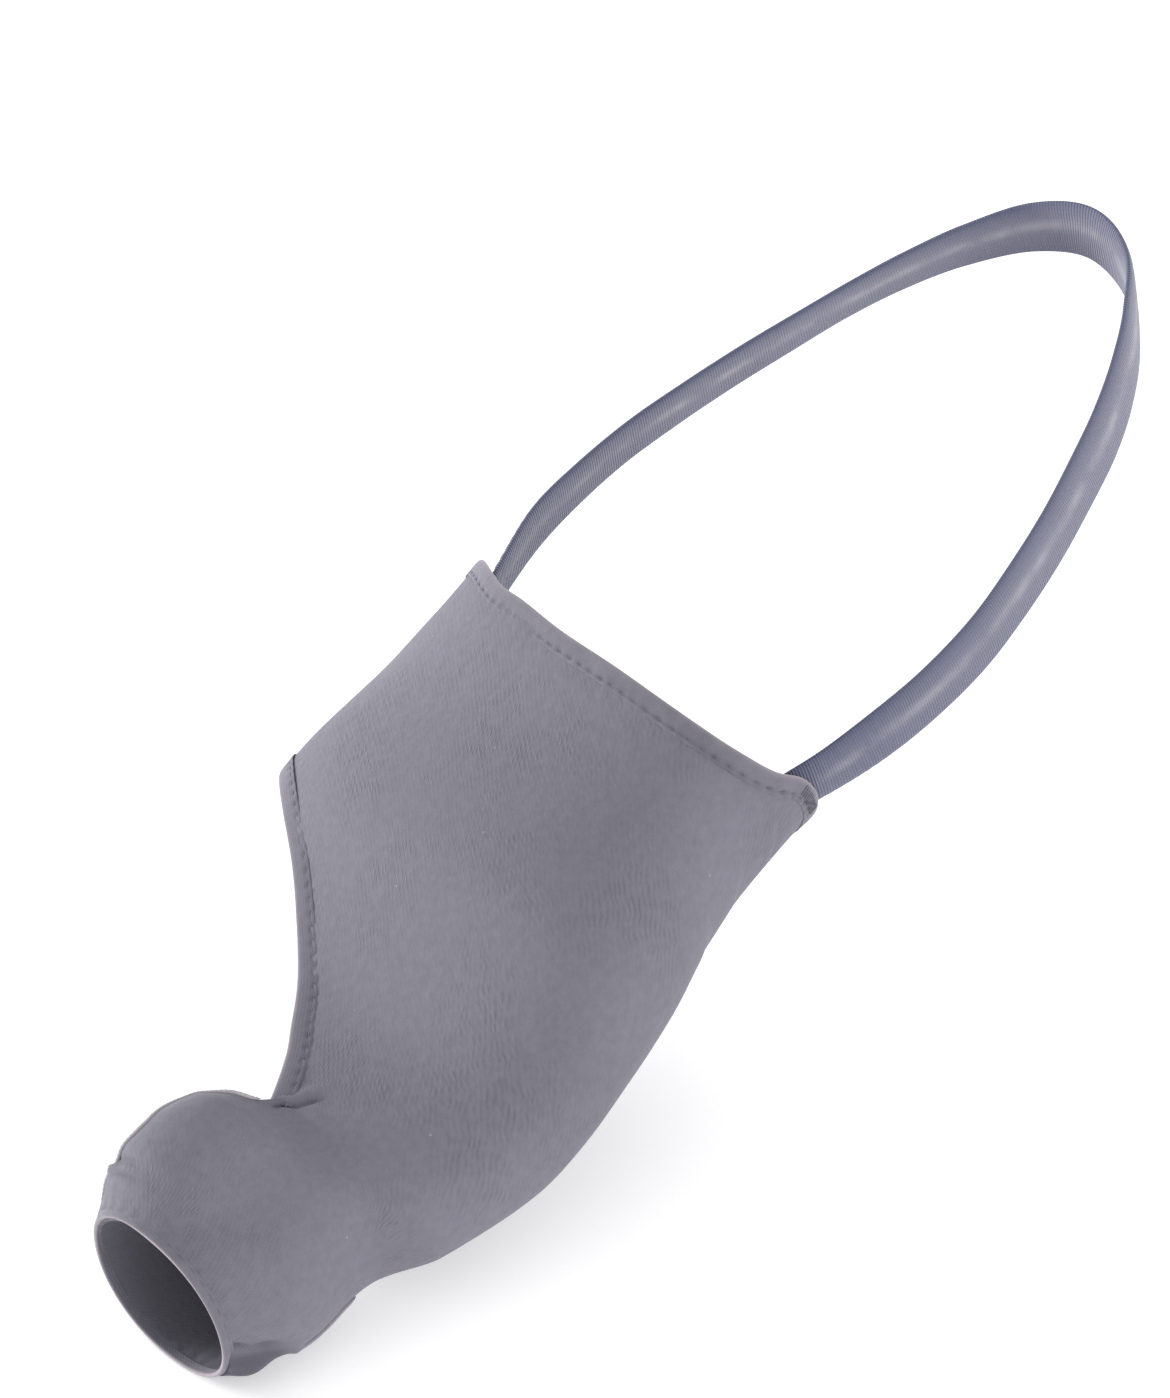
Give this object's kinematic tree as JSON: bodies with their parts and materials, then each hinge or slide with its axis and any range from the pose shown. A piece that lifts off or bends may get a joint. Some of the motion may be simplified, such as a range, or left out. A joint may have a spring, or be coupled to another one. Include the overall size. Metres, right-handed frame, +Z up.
{
  "type": "bunion corrector",
  "caption": "Stretch-knit forefoot sleeve with a big-toe stall, a padded toe-spreader lobe and a narrow elastic heel strap, in the shape it has on a right foot.",
  "frame": {"origin": "middle of the instep opening, where the foot goes in and holds the sleeve up", "axes": "+Z up as worn, +X toward the heel, +Y to the lateral side of the right foot"},
  "size_m": [0.235, 0.0915, 0.0992],
  "materials": {
    "knit": "matte fine knit",
    "hem": "matte fine knit, folded and stitched",
    "seam": "matte thread",
    "elastic": "ribbed elastic with a soft sheen"
  },
  "bodies": {
    "root": {"sleeve": "knit", "instep_hem": "hem", "toes_hem": "hem", "big_toe_hem": "hem", "lobe_edge_seam": "seam", "toe_seam": "seam", "heel_strap": "elastic", "strap_tack_medial": "seam", "strap_tack_lateral": "seam"}
  },
  "joints": []
}
